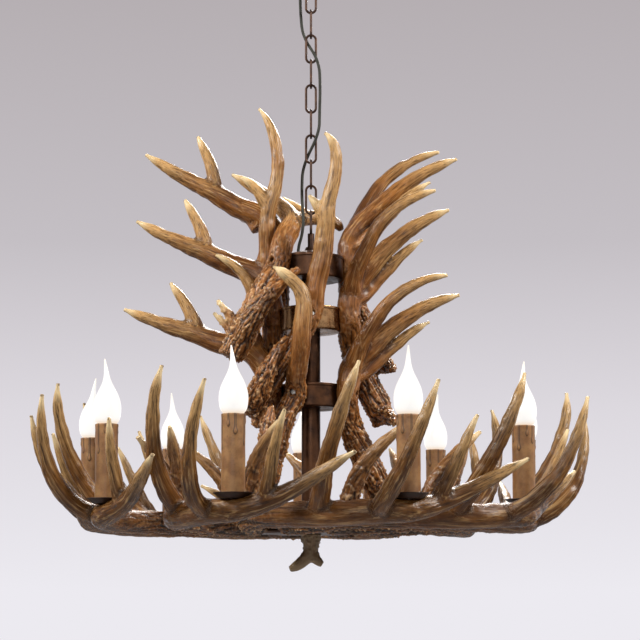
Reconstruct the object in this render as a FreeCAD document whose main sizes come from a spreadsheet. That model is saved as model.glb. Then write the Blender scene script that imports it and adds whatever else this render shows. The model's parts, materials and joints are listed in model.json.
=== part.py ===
import FreeCAD, Part
import math
import os

import Sketcher
from FreeCAD import Placement, Rotation, Vector

# Antler chandelier: a ceiling canopy, a chain of welded links with the supply cord woven through it,
# a stem with three collars that carry nine upper antlers, and a bottom hub that carries nine lower
# antlers, each with a candle lamp. Millimetres, +Z up, origin on the ceiling at the canopy's centre.

doc = FreeCAD.newDocument("AntlerChandelier")
sheet = doc.addObject("Spreadsheet::Sheet", "Sizes")

SIZES = {
    # ceiling plate and canopy
    "strap_length": 96.0,
    "strap_width": 20.0,
    "strap_thickness": 2.5,
    "strap_drop": 9.0,
    "strap_foot": 22.0,
    "ceiling_screw_spacing": 76.0,
    "ceiling_screw_hole_radius": 2.6,
    "canopy_radius": 60.0,
    "canopy_height": 43.0,
    "canopy_wall": 1.2,
    "canopy_bore": 5.6,
    "canopy_skirt": 6.0,
    "cord_hole_radius": 3.4,
    "cord_hole_offset": 17.0,
    "nipple_radius": 5.0,
    "nut_radius": 9.0,
    "nut_height": 4.0,
    "hanger_ring_radius": 11.0,
    "hanger_ring_drop": 19.0,
    # chain
    "link_length": 46.6,
    "link_width": 18.5,
    "link_wire": 3.6,
    "hanger_wire": 4.0,
    "link_play": 0.3,
    "link_count": 9.0,
    # supply cord
    "cord_diameter": 4.5,
    # top eye, stem and collars
    "eye_width": 20.0,
    "eye_length": 40.0,
    "eye_shank": 27.0,
    "eye_foot_radius": 11.0,
    "eye_foot_height": 7.0,
    "cup_radius": 48.0,
    "cup_height": 43.0,
    "cup_wall": 2.0,
    "cup_crown": 9.0,
    "collar_radius": 45.0,
    "collar_height": 37.0,
    "collar_wall": 2.0,
    "collar_crown": 2.0,
    "rim": 1.5,
    "rim_height": 4.0,
    "drum_boss": 18.0,
    "core_wall": 2.0,
    "stem_radius": 14.0,
    "stem_wall": 1.5,
    "stem_fit": 0.1,
    "stem_cap": 7.0,
    "cup_to_mid_collar": 82.0,
    "mid_to_low_collar": 115.0,
    "low_collar_to_beams": 186.0,
    "hub_radius": 80.0,
    "hub_height": 40.0,
    "hub_wall": 3.0,
    "hub_crown": 3.0,
    "hub_rise": 22.0,
    "terminal_length": 24.0,
    "terminal_width": 14.0,
    "terminal_height": 11.0,
    "terminal_offset": 29.0,
    # antlers and their screws
    "antler_gap": 0.2,
    "saddle_depth": 4.0,
    "screw_radius": 2.5,
    "screw_head_radius": 5.0,
    "screw_head_height": 3.0,
    "screw_seat": 6.0,
    "screw_tip": 3.0,
    "counterbore_depth": 16.0,
    "screw_fit": 0.1,
    "waist_radius": 17.0,
    # candles
    "candle_count": 9.0,
    "first_candle_turn": -17.6,
    "seat_height": 17.5,
    "seat_radius": 18.0,
    "pan_radius": 26.0,
    "pan_height": 8.0,
    "pan_wall": 1.4,
    "candle_nipple_radius": 4.9,
    "candle_nipple_depth": 12.0,
    "candle_nipple_rise": 10.0,
    "sleeve_radius": 16.6,
    "sleeve_wall": 2.2,
    "sleeve_height": 109.0,
    "wax_lip": 1.6,
    "holder_radius": 12.5,
    "holder_below_sleeve": 9.0,
    "holder_bore_depth": 28.0,
    "bulb_cap_radius": 6.9,
    "bulb_fit": 0.08,
    # finial
    "finial_stud_radius": 4.0,
    "finial_stud_length": 12.0,
}

for row, (alias, value) in enumerate(SIZES.items(), start=1):
    sheet.set(f"A{row}", alias)
    sheet.set(f"B{row}", str(value))
    sheet.setAlias(f"B{row}", alias)
doc.recompute()


def size(alias):
    """The value that the sheet holds under this alias."""
    return float(getattr(sheet, alias))


# Heights, from the ceiling down: each stands on the one before it.
link_centres = size("link_length") - size("link_wire")
link_pitch = link_centres - size("link_wire") - size("link_play")
links = int(size("link_count"))
canopy_bottom = -size("canopy_height")
hanger_ring_centre = canopy_bottom - size("hanger_ring_drop")
hanger_step = (size("hanger_wire") + size("link_wire")) / 2 + size("link_play")
first_link_top = hanger_ring_centre - size("hanger_ring_radius") + hanger_step
first_link_centre = first_link_top - link_centres / 2
last_link_bottom = first_link_centre - (links - 1) * link_pitch - link_centres / 2
eye_top = last_link_bottom + hanger_step
eye_span = size("eye_length") - size("hanger_wire")
eye_bottom = eye_top - eye_span
cup_top = eye_bottom - size("eye_shank")
stem_top = cup_top - size("stem_cap")
cup_level = cup_top - size("cup_height") / 2
mid_level = cup_level - size("cup_to_mid_collar")
low_level = mid_level - size("mid_to_low_collar")
beam_level = low_level - size("low_collar_to_beams")
hub_top = beam_level + size("hub_rise")
hub_bottom = hub_top - size("hub_height")
holder_height = size("sleeve_height") - size("holder_below_sleeve")


# ---------------------------------------------------------------- helpers

def feature(label, shape, place=None):
    """A node whose shape is set outright; its placement comes after its shape."""
    node = doc.addObject("Part::Feature", label)
    node.Label = label
    node.Shape = shape
    if place is not None:
        node.Placement = place
    return node


def origin_plane(body, role):
    for plane in body.Origin.OriginFeatures:
        if plane.Role == role:
            return plane


def turned(label, outline, base_z):
    """A body turned about Z from a closed outline of (radius, height) expressions, heights from its base."""
    body = doc.addObject("PartDesign::Body", label)
    body.Label = label
    sketch = body.newObject("Sketcher::SketchObject", label + "_outline")
    sketch.AttachmentSupport = (origin_plane(body, "XZ_Plane"), "")
    sketch.MapMode = "FlatFace"
    corners = []
    for radius, height in outline:
        corners.append(Vector(float(sketch.evalExpression(radius)), float(sketch.evalExpression(height)), 0))
    count = len(corners)
    for i in range(count):
        sketch.addGeometry(Part.LineSegment(corners[i], corners[(i + 1) % count]))
    for i in range(count):
        sketch.addConstraint(Sketcher.Constraint("Coincident", i, 2, (i + 1) % count, 1))
    for i, (radius, height) in enumerate(outline):
        for kind, axis, words, value in (
            ("DistanceX", -2, radius, corners[i].x),
            ("DistanceY", -1, height, corners[i].y),
        ):
            if words == "0":
                sketch.addConstraint(Sketcher.Constraint("PointOnObject", i, 1, axis))
            else:
                number = sketch.addConstraint(Sketcher.Constraint(kind, -1, 1, i, 1, value))
                sketch.setExpression(f"Constraints[{number}]", words)
    turn = body.newObject("PartDesign::Revolution", label + "_turn")
    turn.Profile = sketch
    turn.ReferenceAxis = (sketch, ["V_Axis"])
    turn.Angle = 360
    body.Placement = Placement(Vector(0, 0, base_z), Rotation())
    return body


def cylinder(label, radius, height, base=Vector(0, 0, 0), direction=Vector(0, 0, 1)):
    """A Part::Cylinder whose radius and height are expressions."""
    rod = doc.addObject("Part::Cylinder", label)
    rod.setExpression("Radius", radius)
    rod.setExpression("Height", height)
    rod.Placement = Placement(base, Rotation(Vector(0, 0, 1), direction))
    return rod


def cut(label, base, *tools):
    """base less each tool in turn; the last cut carries the label."""
    for i, tool in enumerate(tools):
        step = doc.addObject("Part::Cut", f"{label}_cut_{i}")
        step.Base = base
        step.Tool = tool
        base = step
    base.Label = label
    return base


def unit(angle):
    """The direction at this angle in the XY plane, in degrees from -Y towards +X."""
    turn = math.radians(angle)
    return Vector(math.sin(turn), -math.cos(turn), 0)


def limb(stations, steps_between=2):
    """One antler limb: round sections lofted along a smooth line through (x, y, z, radius) stations."""
    points = [Vector(*station[:3]) for station in stations]
    radii = [station[3] for station in stations]
    path = Part.BSplineCurve()
    path.interpolate(points)
    knots = [path.parameter(point) for point in points]
    places = []
    for i in range(len(points) - 1):
        for step in range(steps_between):
            share = step / steps_between
            parameter = knots[i] + (knots[i + 1] - knots[i]) * share
            places.append((parameter, radii[i] + (radii[i + 1] - radii[i]) * share))
    places.append((knots[-1], radii[-1]))
    across = None
    sections = []
    for parameter, radius in places:
        centre = path.value(parameter)
        along = path.tangent(parameter)[0].normalize()
        if across is None:
            across = along.cross(Vector(0, 0, 1) if abs(along.z) < 0.9 else Vector(1, 0, 0))
        across = (across - along * across.dot(along)).normalize()
        upward = along.cross(across)
        turn = Rotation(across, upward, along, "ZXY")
        ring = Part.makeCircle(radius)
        ring.Placement = Placement(centre, turn)
        sections.append(Part.Wire([ring]))
    return Part.makeLoft(sections, True, False)


def antler(limbs):
    """All limbs of one antler grown into one solid."""
    whole = limb(limbs[0])
    return whole.multiFuse([limb(stations) for stations in limbs[1:]])


def spun(edges):
    """A solid turned about Z from a closed outline of edges in the XZ plane."""
    return Part.Face(Part.Wire(edges)).revolve(Vector(0, 0, 0), Vector(0, 0, 1), 360)


def at(radius, height):
    return Vector(radius, 0, height)


def lines(*corners):
    return [Part.LineSegment(a, b).toShape() for a, b in zip(corners, corners[1:])]


def arc(start, middle, end):
    return Part.Arc(start, middle, end).toShape()


def rod(radius, start, end):
    """A plain round rod from one point to another."""
    return Part.makeCylinder(radius, (end - start).Length, start, end - start)


def wire_loop(width, length, wire):
    """A closed oval of round wire in the XZ plane about the origin; width and length are outer sizes."""
    bend = (width - wire) / 2
    straight = (length - wire) / 2 - bend
    left, right, up = Vector(-bend, 0, 0), Vector(bend, 0, 0), Vector(0, 0, straight)
    crown = Vector(0, 0, straight + bend)
    path = Part.Wire([
        Part.LineSegment(right - up, right + up).toShape(),
        arc(right + up, crown, left + up),
        Part.LineSegment(left + up, left - up).toShape(),
        arc(left - up, -crown, right - up),
    ])
    section = Part.Wire([Part.makeCircle(wire / 2, right - up, Vector(0, 0, 1))])
    return path.makePipeShell([section], True, True)


# ---------------------------------------------------------------- ceiling plate, canopy and hanger

def make_ceiling_strap():
    """The strap on the ceiling: two feet with a screw hole each, and a bridge below that holds the nipple."""
    half = size("strap_length") / 2
    thick = size("strap_thickness")
    bridge = half - size("strap_foot")
    drop = size("strap_drop")
    corners = [
        at(-half, 0), at(-bridge, 0), at(-bridge, -drop), at(bridge, -drop), at(bridge, 0), at(half, 0),
        at(half, -thick), at(bridge + thick, -thick), at(bridge + thick, -drop - thick),
        at(-bridge - thick, -drop - thick), at(-bridge - thick, -thick), at(-half, -thick), at(-half, 0),
    ]
    width = size("strap_width")
    profile = Part.Face(Part.Wire(lines(*corners)))
    strap = profile.extrude(Vector(0, width, 0)).translated(Vector(0, -width / 2, 0))
    for side in (-1, 1):
        x = side * size("ceiling_screw_spacing") / 2
        strap = strap.cut(rod(size("ceiling_screw_hole_radius"), at(x, -thick - 1), at(x, 1)))
    bore = size("nipple_radius") + size("screw_fit")
    return feature("ceiling_strap", strap.cut(rod(bore, at(0, -drop - thick - 1), at(0, 1))))


def make_canopy():
    """A thin spun dome with its rim on the ceiling, a centre bore and a cord hole beside it."""
    radius, deep, wall = size("canopy_radius"), size("canopy_height"), size("canopy_wall")
    bore = size("canopy_bore")
    skirt = size("canopy_skirt")
    flat = radius / 4
    waist = at(radius * 0.78, -deep * 0.74)
    inward = at(-wall * 0.7, wall * 0.7) - at(0, 0)
    outline = lines(at(radius - wall, 0), at(radius, 0), at(radius, -skirt))
    outline.append(arc(at(radius, -skirt), waist, at(flat, -deep)))
    outline += lines(at(flat, -deep), at(bore, -deep), at(bore, wall - deep), at(flat, wall - deep))
    outline.append(arc(at(flat, wall - deep), waist + inward, at(radius - wall, -skirt)))
    outline += lines(at(radius - wall, -skirt), at(radius - wall, 0))
    beside = size("cord_hole_offset")
    hole = rod(size("cord_hole_radius"), at(-beside, -deep - 5), at(-beside, 0))
    return feature("canopy", spun(outline).cut(hole))


def make_hanger():
    """The threaded nipple with the ring that the chain hangs from, across the first link."""
    wire = size("hanger_wire") / 2
    ring = Part.makeTorus(size("hanger_ring_radius"), wire, at(0, hanger_ring_centre), Vector(1, 0, 0))
    top = -size("strap_drop") + size("nut_height") + 1
    shank = rod(size("nipple_radius"), at(0, hanger_ring_centre + size("hanger_ring_radius") - 1), at(0, top))
    return feature("hanger_ring", ring.fuse(shank))


def ring_nut(label, top, stud="nipple_radius"):
    """A round nut on a stud, its upper face at this height."""
    low = top - size("nut_height")
    outer = cylinder(label + "_blank", "Sizes.nut_radius", "Sizes.nut_height", at(0, low))
    hole = f"Sizes.{stud} + Sizes.screw_fit / 2"
    bore = cylinder(label + "_bore", hole, "Sizes.nut_height + 2", at(0, low - 1))
    return cut(label, outer, bore)


# ---------------------------------------------------------------- chain and cord

def make_chain():
    """Welded links, each a quarter turn from the one above it."""
    link = wire_loop(size("link_width"), size("link_length"), size("link_wire"))
    nodes = []
    for i in range(links):
        quarter = Rotation(Vector(0, 0, 1), 90 * (i % 2))
        place = Placement(Vector(0, 0, first_link_centre - i * link_pitch), quarter)
        nodes.append(feature(f"chain_link_{i + 1}", link.copy(), place))
    return nodes


def rounded_route(points, share=0.45):
    """Straight runs through the points, with an arc at each that is as large as its shorter run allows."""
    edges = []
    start = points[0]
    for before, corner, after in zip(points, points[1:], points[2:]):
        back, ahead = before - corner, after - corner
        reach = share * min(back.Length, ahead.Length)
        turn = math.pi - back.getAngle(ahead)
        radius = reach / math.tan(turn / 2)
        a = corner + back.normalize() * reach
        b = corner + ahead.normalize() * reach
        bow = (a + b) / 2 - corner
        depth = radius * (1 / math.cos(turn / 2) - 1)
        middle = corner + bow.normalize() * depth
        edges.append(Part.LineSegment(start, a).toShape())
        edges.append(arc(a, middle, b))
        start = b
    edges.append(Part.LineSegment(start, points[-1]).toShape())
    return Part.Wire(edges)


# The cord's way: out of the canopy (heights above its bottom), through the third and the seventh link
# (in links below the first one's centre), and down beside the eye into the cup (heights above its top).
CORD_OUT_OF_CANOPY = [(-17, 0, 13), (-17, 1, -29)]
CORD_ALONG_CHAIN = [
    (-16, 8, 0.55), (-12.5, 11, 1.42), (12.5, -11, 2.57), (14, -9, 3.62), (13, -4, 4.59), (12.5, -11, 5.44),
    (-12.5, 11, 6.59), (-14, 7, 7.56), (-13, -3, 8.28),
]
CORD_INTO_CUP = [(-11, -12, 45.6), (-13.5, -13, 22.6), (-19.5, -9.5, 4.6), (-20, -9, -16.4)]


def cord_points():
    points = [Vector(x, y, canopy_bottom + rise) for x, y, rise in CORD_OUT_OF_CANOPY]
    points += [Vector(x, y, first_link_centre - below * link_pitch) for x, y, below in CORD_ALONG_CHAIN]
    return points + [Vector(x, y, cup_top + rise) for x, y, rise in CORD_INTO_CUP]


def make_cord():
    """The supply cord, woven through the chain from the canopy's cord hole down into the top cup."""
    points = cord_points()
    path = rounded_route(points)
    radius = size("cord_diameter") / 2
    section = Part.Wire([Part.makeCircle(radius, points[0], points[1] - points[0])])
    print("supply cord length", round(path.Length, 1))
    return feature("supply_cord", path.makePipeShell([section], True, True))


# ---------------------------------------------------------------- eye, cup, stem, collars and hub

STEM_BORE = "Sizes.stem_radius + Sizes.stem_fit"
EYE_BORE = "Sizes.nipple_radius + Sizes.screw_fit"
STUD_BORE = "Sizes.finial_stud_radius + Sizes.screw_fit"
SCREW_BORE = "Sizes.screw_radius + Sizes.screw_fit"


def make_eye():
    """The oval eye that the last link carries, crossing it, on a shank through the top of the cup."""
    oval = wire_loop(size("eye_width"), size("eye_length"), size("hanger_wire"))
    oval.rotate(Vector(0, 0, 0), Vector(0, 0, 1), 90)
    oval.translate(at(0, eye_top - eye_span / 2))
    shank = rod(size("nipple_radius"), at(0, eye_bottom + 1), at(0, stem_top - size("nut_height") - 2))
    foot_radius, foot_height = size("eye_foot_radius"), size("eye_foot_height")
    foot = Part.makeCone(foot_radius * 0.7, foot_radius, foot_height, at(0, cup_top + foot_height), at(0, -1))
    return feature("top_eye", oval.multiFuse([shank, foot]))


def drum(label, kind, top, bore):
    """A closed sheet-metal drum with a sleeve round its bore: its outer shape less its hollow."""
    low = top - size(f"{kind}_height")
    wide, deep = f"Sizes.{kind}_radius", f"Sizes.{kind}_height"
    wall, crown = f"Sizes.{kind}_wall", f"Sizes.{kind}_crown"
    rim_low = f"{deep} - {crown} - Sizes.rim_height"
    rim_wide = f"{wide} + Sizes.rim"
    shell = turned(label + "_shell", [
        (bore, "0"), (f"{wide} - {wall}", "0"), (wide, wall), (wide, rim_low), (rim_wide, rim_low),
        (rim_wide, f"{deep} - {crown}"), ("Sizes.drum_boss", deep), (bore, deep),
    ], low)
    inner = f"{wide} - {wall}"
    core = f"{STEM_BORE} + Sizes.core_wall"
    hollow = turned(label + "_hollow", [
        (core, f"{wall} * 1.5"), (inner, f"{wall} * 1.5"), (inner, f"{deep} - {crown} - {wall}"),
        (core, f"{deep} - {wall}"),
    ], low)
    return cut(label + "_body", shell, hollow)


def screw_holes(label, kind, level, turns):
    """Radial tools for the antler screws through a drum's wall, one at each turn."""
    tools = []
    for i, turn in enumerate(turns, start=1):
        outward = unit(turn)
        base = outward * (size(f"{kind}_radius") - 2 * size(f"{kind}_wall")) + at(0, level)
        tools.append(cylinder(f"{label}_hole_{i}", SCREW_BORE, f"Sizes.{kind}_wall * 4", base, outward))
    return tools


def seat_turns(level):
    """The turns at which the upper antlers sit round the collar at this level."""
    return [turn for _, _, seat_level, turn, _ in UPPER if seat_level == level]


def make_cup():
    """The top cup: a domed drum that the eye and the cord enter from above and the stem from below."""
    body = drum("top_cup", "cup", cup_top, EYE_BORE)
    low = cup_top - size("cup_height")
    stem_seat = cylinder("cup_stem_seat", STEM_BORE, "Sizes.cup_height - Sizes.stem_cap + 1", at(0, low - 1))
    cord_hole = cylinder("cup_cord_hole", "Sizes.cord_hole_radius", "Sizes.cup_height / 2", cord_points()[-1])
    holes = screw_holes("cup", "cup", cup_level, seat_turns(cup_level))
    return cut("top_cup", body, stem_seat, cord_hole, *holes)


def make_collar(label, level):
    """A plain collar: a drum that the stem passes through."""
    body = drum(label, "collar", level + size("collar_height") / 2, STEM_BORE)
    return cut(label, body, *screw_holes(label, "collar", level, seat_turns(level)))


def make_hub():
    """The bottom hub: a wide drum with a floor for the stem and the finial's stud."""
    body = drum("bottom_hub", "hub", hub_top, STUD_BORE)
    stem_seat = cylinder("hub_stem_seat", STEM_BORE, "Sizes.hub_height", at(0, hub_bottom + size("hub_wall")))
    turns = [turn + ROOT_SCREW_TURN for turn in candle_turns()]
    return cut("bottom_hub", body, stem_seat, *screw_holes("hub", "hub", beam_level, turns))


def make_stem():
    """The stem tube from under the cup's top to the hub's floor."""
    foot = hub_bottom + size("hub_wall")
    length = stem_top - foot
    outer = cylinder("stem_outside", "Sizes.stem_radius", str(length), at(0, foot))
    inner = cylinder("stem_inside", "Sizes.stem_radius - Sizes.stem_wall", str(length + 2), at(0, foot - 1))
    return cut("stem_tube", outer, inner)


def make_terminal():
    """The terminal block on the cup's floor, where the supply cord meets the lamp wires."""
    long, wide, tall = size("terminal_length"), size("terminal_width"), size("terminal_height")
    floor = cup_top - size("cup_height") + size("cup_wall") * 1.5
    corner = Vector(size("terminal_offset") - wide / 2, -long / 2, floor)
    block = Part.makeBox(wide, long, tall, corner)
    ways = 3
    for i in range(ways):
        centre = corner + Vector(wide / 2, (i + 0.5) * long / ways, tall)
        block = block.cut(rod(wide / 8, centre - at(0, tall / 2), centre + at(0, 1)))
    return feature("terminal_block", block)


def make_finial():
    """The forked antler piece under the hub, with its stud up through the hub's floor."""
    floor = at(0, hub_bottom)
    above = rod(size("hub_radius"), floor, floor + at(0, size("hub_height")))
    horn = antler(FINIAL).translated(floor).cut(above)
    reach = at(0, size("finial_stud_length"))
    return feature("finial", horn.fuse(rod(size("finial_stud_radius"), floor - reach, floor + reach)))


# ---------------------------------------------------------------- antlers

# A lower antler, in the frame of its candle: X outward through the candle, Y along the circle, Z up from
# the beams' level. Each station is (x, y, z, radius). The beam lies low and sweeps round like a spoke.
LOWER_BEAM = [
    (5, -88, -2, 19), (38, -105, -3, 19.5), (80, -125, -2, 18.5), (130, -138, 0, 17), (190, -136, 0, 17),
    (245, -114, -1, 18), (292, -78, -1, 17.5), (322, -38, 2, 17), (334, 2, 3.5, 16), (332, 44, 13, 13.5),
    (335, 90, 32, 11.5), (343, 132, 54, 8.5), (350, 170, 74, 3),
]
LOWER_TINES = [
    # brow tine, rough at its root
    [(128, -136, 2, 15), (140, -146, 35, 13), (160, -148, 70, 11.5), (190, -143, 102, 8.5),
     (219, -137, 126, 3)],
    # the tallest tine, from the outside of the bend
    [(262, -98, 0, 15), (298, -108, 32, 13), (328, -112, 72, 11.5), (350, -107, 115, 10),
     (364, -98, 155, 7.5), (370, -86, 191, 2.8)],
    # the outermost tine
    [(322, -38, 3, 14), (362, -44, 20, 12.5), (394, -38, 52, 11), (414, -28, 90, 9), (425, -16, 128, 6.5),
     (430, -3, 164, 2.8)],
    # the small tine past the candle
    [(331, 42, 14, 11.5), (343, 52, 42, 10), (355, 62, 72, 8.5), (364, 72, 102, 6), (371, 83, 128, 2.6)],
]
CANDLE_OUT = 334
# Where its screw goes: this far round the hub from the candle's own direction, this far from the axis.
ROOT_SCREW_TURN = -84.0
ROOT_SCREW_OUT = 90.0

# Upper antlers: stations measured from the waist, where the beam passes its collar. X to the right,
# Y away from the viewer. The left-hand family spreads its crown flat, the right-hand one fans it edge-on.
LEFT_ROOT = [(-17, 72, -152, 18), (-9, 57, -116, 19.5), (-3, 39, -79, 18.5), (-1, 18, -41, 17.5)]
LEFT_CROWN = [
    (0, 0, 0, 17), (-4, -2, 34, 18), (-26, -4, 70, 18.5), (-64, -4, 86, 16.5), (-102, -4, 104, 15),
    (-142, -2, 121, 12), (-180, 0, 139, 8.5), (-207, 0, 153, 2.8),
]
LEFT_INNER_TINE = [
    (-98, -4, 98, 13.5), (-105, -3, 125, 11.5), (-114, -2, 150, 9.5), (-125, -2, 170, 7),
    (-134, -2, 186, 2.8),
]
LEFT_BACK_TINE = [
    (-27, -4, 66, 16), (-41, 6, 82, 12.5), (-55, 36, 94, 10), (-63, 66, 112, 7), (-67, 88, 134, 2.8),
]
LEFT_FORK = [
    (-20, -4, 60, 16), (-10, -10, 98, 13.5), (-9, -15, 136, 12.5), (-5, -17, 172, 11.5), (4, -18, 204, 10.5),
    (7, -18, 240, 10), (3, -16, 270, 8.5), (-6, -13, 300, 6.5), (-22, -10, 325, 2.8),
]
LEFT_FORK_SIDE = [(-6, -16, 165, 11), (-19, -17, 190, 9.5), (-33, -16, 207, 7), (-49, -15, 217, 2.8)]
LEFT_LOW_TINE = [
    (-20, 0, 70, 15), (-31, -6, 100, 12.5), (-27, -12, 132, 11.5), (-32, -16, 160, 10), (-46, -18, 184, 8),
    (-66, -19, 200, 6), (-84, -20, 210, 2.8),
]

RIGHT_ROOT = [(54, 48, -152, 18), (36, 43, -111, 20.5), (16, 35, -69, 19.5), (2, 20, -31, 17.5)]
RIGHT_CROWN = [
    (0, 0, 0, 17), (4, 2, 40, 18), (28, 4, 72, 17), (52, 6, 96, 14.5), (80, 8, 119, 12.5),
    (108, 9, 138, 10.5),
    (134, 10, 151, 8), (160, 10, 160, 3),
]
RIGHT_HIGH_TINE = [
    (5, 3, 40, 15), (15, 20, 72, 12.5), (32, 32, 104, 11.5), (51, 40, 132, 10.5), (80, 44, 157, 9),
    (116, 44, 174, 6), (137, 42, 179, 2.8),
]
RIGHT_LOW_TINE = [
    (5, 0, 28, 14), (29, -12, 42, 12), (47, -18, 60, 10.5), (71, -22, 84, 9.5), (93, -23, 103, 7.5),
    (118, -23, 119, 2.8),
]
RIGHT_BROW = [(50, 44, -138, 15), (60, 12, -148, 10), (66, -12, -156, 5)]

# The three antlers in front: their roots hang lower left, each with a rough brow tine beside its beam.
FRONT_TOP = [
    [(-71, -23, -147, 18), (-53, -21, -111, 20.5), (-35, -17, -73, 19.5), (-15, -9, -33, 18.5), (0, 0, 0, 17),
     (3, 5, 22, 17), (11, 23, 47, 17), (17, 43, 65, 16), (13, 61, 83, 14.5), (-13, 73, 109, 12),
     (-51, 79, 137, 9), (-75, 81, 151, 2.8)],
    [(17, 41, 64, 14), (38, 64, 78, 12), (62, 78, 82, 11.5), (84, 84, 76, 9), (94, 86, 64, 5)],
    [(40, 66, 78, 10.5), (26, 78, 96, 8.5), (3, 83, 115, 2.8)],
    [(-61, -22, -128, 18), (-39, -37, -91, 16), (-15, -43, -59, 13), (9, -41, -35, 9.5), (29, -35, -17, 4)],
    [(-53, -22, -105, 10), (-73, -23, -83, 6.5), (-90, -23, -62, 2.5)],
    [(-59, -23, -119, 10), (-77, -23, -100, 6), (-94, -23, -82, 2.5)],
]
FRONT_MID = [
    [(-92, 0, -148, 18), (-78, 2, -124, 20), (-58, 3, -93, 18.5), (-34, 4, -59, 17), (-14, 2, -29, 16.5),
     (0, 0, 0, 16), (7, -4, 40, 15.5), (16, -8, 84, 15), (22, -14, 134, 13.5), (26, -18, 166, 11.5),
     (33, -20, 194, 10.5), (37, -20, 222, 9.5), (33, -22, 249, 7.5), (20, -22, 266, 2.8)],
    [(21, -12, 126, 12), (17, -12, 146, 10), (7, -12, 162, 7.5), (-3, -13, 175, 2.8)],
    [(-84, -1, -134, 18), (-72, -22, -108, 16), (-58, -30, -80, 13), (-44, -31, -55, 9.5),
     (-34, -29, -37, 4)],
]
FRONT_LOW = [
    [(-47, -6, -140, 18), (-41, -6, -111, 20), (-28, -5, -70, 18), (-14, -2, -30, 16.5), (0, 0, 0, 16),
     (0, -13, 20, 15), (5, -32, 44, 14.5), (8, -44, 66, 14), (9, -49, 90, 13.5), (11, -51, 114, 13),
     (9, -52, 136, 12),
     (-2, -54, 152, 10.5), (-16, -56, 165, 8.5), (-33, -56, 176, 3)],
    [(-44, -6, -122, 18), (-40, -38, -98, 15), (-42, -44, -70, 12), (-38, -43, -44, 8.5), (-34, -41, -24, 4)],
]


def turned_about_waist(stations, tilt, reach, mirror_y=False):
    """Stations swung by tilt degrees in the XZ plane, reach times as far out, mirrored front to back if asked."""
    swing = Rotation(Vector(0, 1, 0), tilt)
    moved = []
    for x, y, z, radius in stations:
        point = swing.multVec(Vector(x, -y if mirror_y else y, z)) * reach
        moved.append((point.x, point.y, point.z, radius))
    return moved


def left_antler(tilt, reach, crown_tines):
    """A left-hand antler: root and crown in one beam, with its inner tine and the crown tines given."""
    beam = LEFT_ROOT + turned_about_waist(LEFT_CROWN, tilt, reach)
    return [beam, turned_about_waist(LEFT_INNER_TINE, tilt, reach)] + crown_tines


def right_antler(tilt, reach, high_tine_in_front):
    """A right-hand antler; its high tine stands in front of the beam or behind it, the low one opposite."""
    high = turned_about_waist(RIGHT_HIGH_TINE, tilt, reach, mirror_y=high_tine_in_front)
    low = turned_about_waist(RIGHT_LOW_TINE, tilt, reach, mirror_y=high_tine_in_front)
    return [RIGHT_ROOT + turned_about_waist(RIGHT_CROWN, tilt, reach), high, low, RIGHT_BROW]


# The upper antlers: name, drum, the drum's level, seat turn, limbs.
UPPER = [
    ("upper_left_top", "cup", cup_level, -126, left_antler(5, 1.06, [LEFT_BACK_TINE])),
    ("upper_left_mid", "collar", mid_level, -100, left_antler(0, 1, [LEFT_FORK, LEFT_FORK_SIDE])),
    ("upper_left_low", "collar", low_level, -85, left_antler(-6, 1, [LEFT_LOW_TINE])),
    ("upper_right_top", "cup", cup_level, 110, right_antler(-1, 1.06, False)),
    ("upper_right_mid", "collar", mid_level, 80, right_antler(-3, 1, True)),
    ("upper_right_low", "collar", low_level, 68, right_antler(3, 1, True)),
    ("upper_front_top", "cup", cup_level, -50, FRONT_TOP),
    ("upper_front_mid", "collar", mid_level, 0, FRONT_MID),
    ("upper_front_low", "collar", low_level, -22, FRONT_LOW),
]

# The finial, below the hub: a short trunk that forks into two blunt tips.
FINIAL = [
    [(0, 0, 3, 17), (0, 0, -8, 13.5), (0, 0, -22, 10), (-7, 0, -35, 9.5), (-20, 0, -46, 8), (-32, 0, -52, 5)],
    [(0, 0, -24, 9), (5, -1, -34, 8.5), (17, -2, -45, 5)],
]


def drum_space(kind, top):
    """The room that a drum takes up among the antlers, a hair larger than the drum itself."""
    radius, height, crown = size(f"{kind}_radius"), size(f"{kind}_height"), size(f"{kind}_crown")
    gap = size("antler_gap")
    rim_height = size("rim_height") + 2 * gap
    side = rod(radius + gap, at(0, top - height - gap), at(0, top - crown))
    rim = rod(radius + size("rim") + gap, at(0, top - crown + gap - rim_height), at(0, top - crown + gap))
    dome = Part.makeCone(radius + size("rim") + gap, size("drum_boss"), crown, at(0, top - crown + gap))
    return side.multiFuse([rim, dome])


def fasten(shape, kind, outward, beam_centre, level):
    """The antler with its counterbored hole, and the screw that ties it to the drum's wall."""
    axis = at(0, level)
    seat = axis + outward * (beam_centre + size("screw_seat"))
    tip = axis + outward * (size(f"{kind}_radius") - size(f"{kind}_wall") - size("screw_tip"))
    fit = size("screw_fit")
    hole = rod(size("screw_radius") + fit, tip, seat + outward)
    counterbore = rod(size("screw_head_radius") + 3 * fit, seat, seat + outward * size("counterbore_depth"))
    head = rod(size("screw_head_radius"), seat, seat + outward * size("screw_head_height"))
    recess = rod(size("screw_radius") / 2, seat + outward, seat + outward * size("screw_head_height"))
    screw = head.fuse(rod(size("screw_radius"), tip, seat + outward)).cut(recess)
    return shape.cut(hole).cut(counterbore), screw


def make_upper_antlers():
    """Nine antlers, three round each collar, and their screws."""
    nodes = []
    screws = []
    for label, kind, level, turn, limbs in UPPER:
        outward = unit(turn)
        beam_centre = size(f"{kind}_radius") + size("waist_radius") - size("saddle_depth")
        shape = antler(limbs).translated(outward * beam_centre + at(0, level))
        shape = shape.cut(drum_space(kind, level + size(f"{kind}_height") / 2))
        shape, screw = fasten(shape, kind, outward, beam_centre, level)
        nodes.append(feature(label, shape))
        screws.append(screw)
    nodes.append(feature("upper_antler_screws", Part.makeCompound(screws)))
    return nodes


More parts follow.
